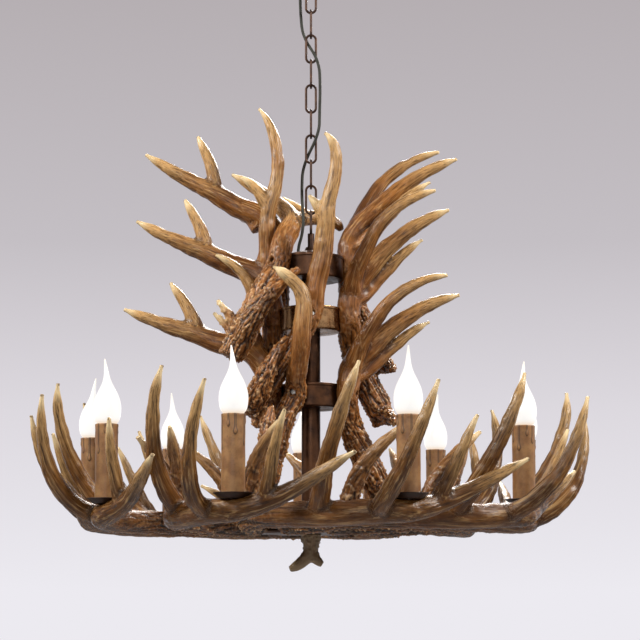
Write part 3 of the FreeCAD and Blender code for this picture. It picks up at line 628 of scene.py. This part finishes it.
def lowest_part(points):
    """Which points of an upper antler are its root."""
    return points[:, 2] < points[:, 2].min() + ROOT_AT_FOOT * MM


def highest_part(points):
    """Which points of the finial are its root."""
    return points[:, 2] > points[:, 2].max() - ROOT_AT_TOP * MM


def make_antlers():
    """The nine lower antlers from one mould, the upper antlers each from its own form, and the finial."""
    mould = carved_antler("lower_antler_1", near_hub, LOWER_ROUGH)
    for number in range(1, CANDLES + 1):
        mesh = mould.copy()
        mesh.name = f"lower_antler_form_{number}"
        mesh.transform(Matrix.Rotation(2 * math.pi * (number - 1) / CANDLES, 4, "Z"))
        add_piece(f"antler_low_{number}", mesh, lower_antler, "lamp", f"lower_antler_{number}", slot="antler")
    for family in ("left", "right", "front"):
        for tier in ("top", "mid", "low"):
            node = f"upper_{family}_{tier}"
            mesh = carved_antler(node, lowest_part, UPPER_ROUGH)
            add_piece(f"antler_{family}_{tier}", mesh, upper_antler, "lamp", node, slot="antler")
    finial = carved_antler("finial", highest_part, FINIAL_ROUGH, FINIAL_PALE)
    add_piece("finial_horn", finial, lower_antler, "lamp", "finial", slot="antler")


# ---------------------------------------------------------------- metalwork

DRUM_BORE = 14.2
DRUM_SEGMENTS = 96
RIM_WIDTH = 1.5
RIM_HEIGHT = 4.0
BOSS_RADIUS = 18.0
DRUM_ROUNDING = 0.7


def drum_piece(node, metal, crown, slope=2.0):
    """A drum with softened edges and a raised rim, in the CAD drum's place.

    Its top rises by crown from the rim to the boss; slope is the size of the bevel round its foot.
    """
    low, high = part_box(node)
    bottom, top, side = low.z / MM, high.z / MM, high.x / MM - RIM_WIDTH
    rim_top = top - crown
    outline = [
        (DRUM_BORE, bottom), (side - slope, bottom), (side, bottom + slope), (side, rim_top - RIM_HEIGHT),
        (side + RIM_WIDTH, rim_top - RIM_HEIGHT), (side + RIM_WIDTH, rim_top), (BOSS_RADIUS, top),
        (DRUM_BORE, top),
    ]
    mesh = turned(node + "_form", rounded(outline, DRUM_ROUNDING), DRUM_SEGMENTS)
    add_piece(node + "_metal", mesh, metal, "lamp", node, slot="bronze")


def make_drums():
    # The drums among the antlers take the darker copy of the bronze, as painted shade; the mid collar takes the
    # bronze itself.
    drum_piece("top_cup", shaded_bronze, crown=9.0)
    drum_piece("mid_collar", bronze, crown=2.0)
    drum_piece("lower_collar", shaded_bronze, crown=2.0)
    drum_piece("bottom_hub", shaded_bronze, crown=3.0, slope=3.0)


def dress_cad_nodes():
    """The CAD nodes that stay are given their materials by slot."""
    by_slot = {"steel": zinc, "insulator": insulator, "pan": pan_bronze, "chain": dark_bronze,
               "bronze": bronze, "antler": upper_antler, "sleeve": wax, "bulb": glow, "cord": cord_cloth}
    for entry in frame["record"]["subparts"]:
        node = frame["nodes"][entry["node"]]
        node.data.materials.clear()
        node.data.materials.append(by_slot[entry["material_slot"]])
    # The stem takes the darker copy of the bronze, as painted shade.
    frame["nodes"]["stem_tube"].data.materials[0] = shaded_bronze


# ---------------------------------------------------------------- candles

# The bulb's flame from the sleeve's top up: height, radius, how far its tip bends over.
BULB_ROWS = [
    (-31, 6.6, 0), (-12, 6.8, 0), (-6, 9.2, 0), (0.5, 13.4, 0), (4, 16.2, 0), (10, 18.4, 0), (22, 19.4, 0),
    (34, 17.4, 0), (44, 13.4, 0), (53, 8.9, 0.3), (62, 5.3, 1), (72, 3.4, 2), (82, 2.1, 3.5), (91, 0.9, 5),
]
BULB_ROW_STEPS = 5
BULB_SEGMENTS = 40
# The heights between which the glow turns warm towards the bulb's foot and its tip, and how warm.
FOOT_WARMS, FOOT_WARMTH = (8, -6), 0.9
TIP_WARMS, TIP_WARMTH = (74, 92), 0.25
# How far each bulb and sleeve is turned from the one before, in degrees, so that no two show the same side.
BULB_TURN = 137.5
SLEEVE_TURN = 77

SLEEVE_RADIUS = 16.6
SLEEVE_WALL = 2.2
SLEEVE_SEGMENTS = 120
SLEEVE_STEPS = 70
# The plain side lies this far inside the sleeve's radius, to leave room for the wax that stands out of it.
WAX_ROOM = 0.9
WIDEST_WAX = 0.6
RUN_SWELL = 1.2
LIP_SWELL = 0.4
UNEVENNESS = 0.22
LIP_WIDTH = 1.3
LIP_FLATNESS = 0.6
LIP_ROWS = 6
# Where wax runs down a sleeve: turn round it in degrees, length, width.
WAX_RUNS = [(10, 34, 4.0), (52, 14, 3.0), (84, 24, 3.6), (128, 46, 3.6), (171, 16, 3.2), (205, 26, 4.2),
            (258, 40, 3.4), (296, 12, 3.0), (330, 22, 3.6)]
# A run's drop has its middle this far above the run's end, and fades over this length.
DROP_ABOVE = 3
DROP_LENGTH = 4.0

# The pan's section: a dish with a rolled brim, from its underside up.
PAN_OUTLINE = [(5.0, 0), (17.0, 0), (18.5, 0.8), (25.2, 6.4), (26.6, 7.0), (26.6, 8.0), (25.0, 8.0),
               (17.0, 1.4), (5.0, 1.4)]
PAN_ROUNDING = 0.6
PAN_SEGMENTS = 72


def bulb_mesh(name, sleeve_top):
    """A flame-shaped bulb in a sleeve whose top is at this height in metres."""
    rows = smooth_rows(BULB_ROWS, BULB_ROW_STEPS)
    points = []
    warm = []
    for height, radius, bend in rows:
        for k in range(BULB_SEGMENTS):
            angle = 2 * math.pi * k / BULB_SEGMENTS
            points.append(((radius * math.cos(angle) + bend) * MM, radius * math.sin(angle) * MM,
                           sleeve_top + height * MM))
        warmth = FOOT_WARMTH * ramp(height, *FOOT_WARMS) + TIP_WARMTH * ramp(height, *TIP_WARMS)
        warm += [warmth] * BULB_SEGMENTS
    mesh = mesh_of(name, points, ring_faces(len(rows), BULB_SEGMENTS, closed=False))
    set_field(mesh, "warm", "FLOAT", warm)
    return mesh


def sleeve_outline(low, high):
    """The sleeve's section: up its outside, over its lip and down its inside."""
    side = SLEEVE_RADIUS - WAX_ROOM
    inside = SLEEVE_RADIUS - SLEEVE_WALL - 0.1
    outline = [(side, low + (high - low) * step / SLEEVE_STEPS) for step in range(SLEEVE_STEPS + 1)]
    for step in range(1, LIP_ROWS + 1):
        angle = math.pi * step / (LIP_ROWS + 1)
        outline.append((side - LIP_WIDTH * (1 - math.cos(angle)) / 2,
                        high + LIP_WIDTH * math.sin(angle) * LIP_FLATNESS))
    return outline + [(inside, high - 1), (inside, low)]


def wax_swell(angle, down):
    """How much wax stands out, 0 to 1, at a turn in degrees and this far below the sleeve's top."""
    swell = 0.0
    for turn, length, width in WAX_RUNS:
        aside = abs((angle - turn + 180) % 360 - 180) / 360 * 2 * math.pi * SLEEVE_RADIUS
        drop = math.exp(-((down - length + DROP_ABOVE) / DROP_LENGTH) ** 2)
        half = width / 2 * (0.75 + 0.55 * drop)
        across = math.exp(-(aside / half) ** 2 * 1.4)
        reach = 1 / (1 + math.exp(down - length))
        swell = max(swell, across * reach * (0.55 + 0.45 * drop))
    return swell


def sleeve_mesh(name, low, high):
    """A wax sleeve with a soft lip and runs that end in drops, between these heights in millimetres."""
    outline = sleeve_outline(low, high)
    points = []
    runs = []
    for index, (radius, height) in enumerate(outline):
        past_side = index - SLEEVE_STEPS
        down = high - height
        top_lip = math.exp(-(down / 3.5) ** 2) if past_side <= 0 else 0.6
        for k in range(SLEEVE_SEGMENTS):
            angle = 360 * k / SLEEVE_SEGMENTS
            x, y = math.cos(math.radians(angle)), math.sin(math.radians(angle))
            swell = wax_swell(angle, down) if past_side < LIP_ROWS else 0.0
            r = radius
            if past_side <= LIP_ROWS // 2:
                uneven = noise.noise(Vector((x * 1.3, y * 1.3, height / 17)))
                r += RUN_SWELL * swell + LIP_SWELL * top_lip + UNEVENNESS * uneven
            r = min(r, SLEEVE_RADIUS + WIDEST_WAX)
            points.append((r * MM * x, r * MM * y, height * MM))
            runs.append(swell)
    mesh = mesh_of(name, points, ring_faces(len(outline), SLEEVE_SEGMENTS, closed=True))
    set_field(mesh, "run", "FLOAT", runs)
    return mesh


def make_candles():
    """A pan, a sleeve and a bulb at each candle's place, copies of one of each."""
    low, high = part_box("candle_sleeves")
    sleeve_foot, sleeve_top = low.z - pan_floor, high.z - pan_floor
    pan = turned("drip_pan_form", rounded(PAN_OUTLINE, PAN_ROUNDING), PAN_SEGMENTS)
    sleeve = sleeve_mesh("sleeve_form", sleeve_foot / MM, sleeve_top / MM - WAX_ROOM)
    bulb = bulb_mesh("bulb_form", sleeve_top)
    for number, spot in enumerate(candle_spots, start=1):
        for name, mesh, material, body, node, slot, turn in (
            (f"drip_pan_{number}", pan, pan_bronze, "lamp", "drip_pans", "pan", 0),
            (f"sleeve_{number}", sleeve, wax, "lamp", "candle_sleeves", "sleeve", SLEEVE_TURN * number),
            (f"bulb_glass_{number}", bulb, glow, f"bulb_{number}", f"bulb_{number}", "bulb",
             BULB_TURN * number),
        ):
            placed = mesh.copy()
            placed.transform(Matrix.Translation(spot) @ Matrix.Rotation(math.radians(turn), 4, "Z"))
            add_piece(name, placed, material, body, node, slot=slot)


# ---------------------------------------------------------------- supply cord

CORD_RADIUS = 2.25
CORD_SIDES = 16
CORD_OVERLAP = 4.0
CORD_STEPS = 24
# The cord's way from the canopy down through the chain to the cup.
CORD_ROUTE = [
    (-17, 0, -30), (-17, 1, -72), (-16, 8, -112), (-12.5, 11, -146), (12.5, -11, -191), (14, -9, -232),
    (13, -4, -270), (12.5, -11, -303), (-12.5, 11, -348), (-14, 7, -386), (-13, -3, -414),
    (-11, -12, -438), (-13.5, -13, -461), (-19.5, -9.5, -479), (-20, -9, -500),
]
LINKS = 9


def cord_line():
    """The cord's centre line as close points."""
    curve = bpy.data.curves.new("cord_line", "CURVE")
    curve.dimensions = "3D"
    spline = curve.splines.new("NURBS")
    spline.points.add(len(CORD_ROUTE) - 1)
    for point, place in zip(spline.points, CORD_ROUTE):
        point.co = (place[0] * MM, place[1] * MM, place[2] * MM, 1)
    spline.order_u = 3
    spline.use_endpoint_u = True
    spline.resolution_u = CORD_STEPS
    line = bpy.data.objects.new("cord_line", curve)
    scene.collection.objects.link(line)
    mesh = bpy.data.meshes.new_from_object(line.evaluated_get(bpy.context.evaluated_depsgraph_get()))
    bpy.data.objects.remove(line)
    return points_of(mesh)


def tube(name, line, radius):
    """A round tube with closed ends along close points."""
    ahead = np.gradient(line, axis=0)
    ahead /= np.linalg.norm(ahead, axis=1)[:, None]
    points = []
    side = np.array([1.0, 0.0, 0.0])
    for place, forward in zip(line, ahead):
        side = side - (side @ forward) * forward
        side /= np.linalg.norm(side)
        other = np.cross(forward, side)
        for k in range(CORD_SIDES):
            angle = 2 * math.pi * k / CORD_SIDES
            points.append(place + radius * (math.cos(angle) * side + math.sin(angle) * other))
    return mesh_of(name, points, ring_faces(len(line), CORD_SIDES, closed=False))


def make_cord():
    """The cord as one stretch for each body from joint to joint, each reaching a little into the next."""
    line = cord_line()
    bodies = ["canopy"] + [f"link_{i}" for i in range(1, LINKS + 1)] + ["lamp"]
    cuts = [joint_place(f"link_{i}_swing").z for i in range(1, LINKS + 1)] + [joint_place("lamp_swing").z]
    tops = [math.inf] + cuts
    ends = cuts + [-math.inf]
    for i, body in enumerate(bodies):
        chosen = (line[:, 2] < tops[i] + CORD_OVERLAP * MM) & (line[:, 2] > ends[i] - CORD_OVERLAP * MM)
        mesh = tube(f"cord_form_{i}", line[chosen], CORD_RADIUS * MM)
        add_piece(f"cord_{i}", mesh, cord_cloth, body, "supply_cord", slot="cord")


# ---------------------------------------------------------------- stage

# The stage's lengths are metres, in the part's frame. The photograph was taken from 2.56 m in front of the
# chandelier's axis and 0.988 m below the ceiling. HORIZON_ROW is the picture's row at the camera's own level,
# and AXIS_COLUMN the column of the axis.
CAMERA_AWAY = 2.56
CAMERA_LEVEL = -0.988
IMAGE = 640
FOCAL_PIXELS = 1730
HORIZON_ROW = 590
AXIS_COLUMN = 311
SHIFT_UP = 0.10
SENSOR = 36.0


def make_camera():
    """The photograph's camera, tilted a little upwards."""
    camera = bpy.data.cameras.new("photo_camera")
    camera.sensor_width = SENSOR
    camera.lens = FOCAL_PIXELS / IMAGE * SENSOR
    camera.shift_y = SHIFT_UP
    camera.shift_x = (IMAGE / 2 - AXIS_COLUMN) / IMAGE
    pitch = math.atan((HORIZON_ROW - IMAGE / 2 - SHIFT_UP * IMAGE) / FOCAL_PIXELS)
    holder = bpy.data.objects.new("photo_camera", camera)
    holder.location = (0, -CAMERA_AWAY, CAMERA_LEVEL)
    holder.rotation_euler = (math.pi / 2 + pitch, 0, 0)
    scene.collection.objects.link(holder)
    scene.camera = holder


# The studio's lamps, which all face the middle of the chandelier: place, width, power, colour.
LAMP_MIDDLE = (0, 0, -0.7)
LIGHTS = {
    "left_box": ((-1.9, -0.9, 0.7), 0.6, 64, (1.0, 0.96, 0.90)),
    "right_box": ((1.9, -0.7, 0.7), 0.6, 64, (1.0, 0.96, 0.91)),
    "back_box": ((0.4, 2.0, 0.8), 0.8, 48, (1.0, 0.97, 0.93)),
    "front_fill": ((-0.3, -2.3, 0.1), 1.2, 15, (1.0, 0.97, 0.94)),
}


def make_lights():
    """Soft round lamps outside the picture."""
    for name, (place, width, power, colour) in LIGHTS.items():
        light = bpy.data.lights.new(name, "AREA")
        light.shape = "DISK"
        light.size = width
        light.energy = power
        light.color = colour
        holder = bpy.data.objects.new(name, light)
        holder.location = place
        holder.rotation_euler = (Vector(LAMP_MIDDLE) - Vector(place)).to_track_quat("-Z", "Y").to_euler()
        scene.collection.objects.link(holder)


# The backdrop's tones by how far upwards the eye looks, from level to a direction whose upward part is
# BACKDROP_RISE.
BACKDROP_RISE = 0.36
BACKDROP_TONES = [(0.0, tone(236, 234, 240)), (0.28, tone(221, 217, 223)), (0.55, tone(196, 191, 196)),
                  (1.0, tone(178, 171, 174))]
WORLD_LIGHT = 0.15


def make_world():
    """A soft grey world that the camera and reflections see as the pale studio backdrop."""
    world = bpy.data.worlds.new("studio")
    world.use_nodes = True
    world.node_tree.nodes.clear()
    scene.world = world
    make = Nodes(world.node_tree)
    direction = make.node("ShaderNodeSeparateXYZ")
    make.put(direction.inputs[0], make.node("ShaderNodeTexCoord").outputs["Generated"])
    tones = make.node("ShaderNodeValToRGB")
    make.put(tones.inputs["Fac"], make.math("DIVIDE", direction.outputs["Z"], BACKDROP_RISE))
    stops = tones.color_ramp.elements
    for place, _ in BACKDROP_TONES[1:-1]:
        stops.new(place)
    for stop, (place, colour) in zip(stops, BACKDROP_TONES):
        stop.position = place
        stop.color = colour
    seen = make.node("ShaderNodeBackground")
    make.put(seen.inputs["Color"], tones.outputs["Color"])
    lit = make.node("ShaderNodeBackground")
    make.put(lit.inputs["Color"], (1, 1, 1, 1))
    make.put(lit.inputs["Strength"], WORLD_LIGHT)
    path = make.node("ShaderNodeLightPath").outputs
    direct = make.math("MAXIMUM", path["Is Camera Ray"], path["Is Transmission Ray"])
    blend = make.node("ShaderNodeMixShader")
    make.put(blend.inputs["Fac"], make.math("MAXIMUM", direct, path["Is Glossy Ray"]))
    make.put(blend.inputs[1], lit.outputs[0])
    make.put(blend.inputs[2], seen.outputs[0])
    make.put(make.node("ShaderNodeOutputWorld").inputs["Surface"], blend.outputs[0])


FLOOR_LEVEL = -2.0
FLOOR_REACH = 9.0
# How strongly the floor glows to the camera alone.
FLOOR_SHOWN = 0.58


def make_floor():
    """A pale floor, shown a little lighter than the lamps make it, that keeps the lamp's shadow."""
    corners = [(-1, -1), (1, -1), (1, 1), (-1, 1)]
    floor = mesh_of("floor_form", [(x * FLOOR_REACH, y * FLOOR_REACH, FLOOR_LEVEL) for x, y in corners],
                    [(0, 1, 2, 3)])
    make = Shader("pale_floor")
    specks = make.noise(make.place(), 8.0, 2.0)
    colour = make.mix(make.math("MULTIPLY", specks, 0.2), tone(168, 166, 170), tone(160, 158, 162))
    seen = make.node("ShaderNodeLightPath").outputs["Is Camera Ray"]
    make.finish(Base_Color=colour, Roughness=0.8, Emission_Color=tone(228, 226, 232),
                Emission_Strength=make.math("MULTIPLY", seen, FLOOR_SHOWN))
    piece = bpy.data.objects.new("floor", floor)
    scene.collection.objects.link(piece)
    floor.materials.append(make.material)


scene.view_settings.view_transform = "Standard"
make_camera()
make_lights()
make_world()
make_floor()
dress_cad_nodes()
make_cord()
make_drums()
make_candles()
make_antlers()
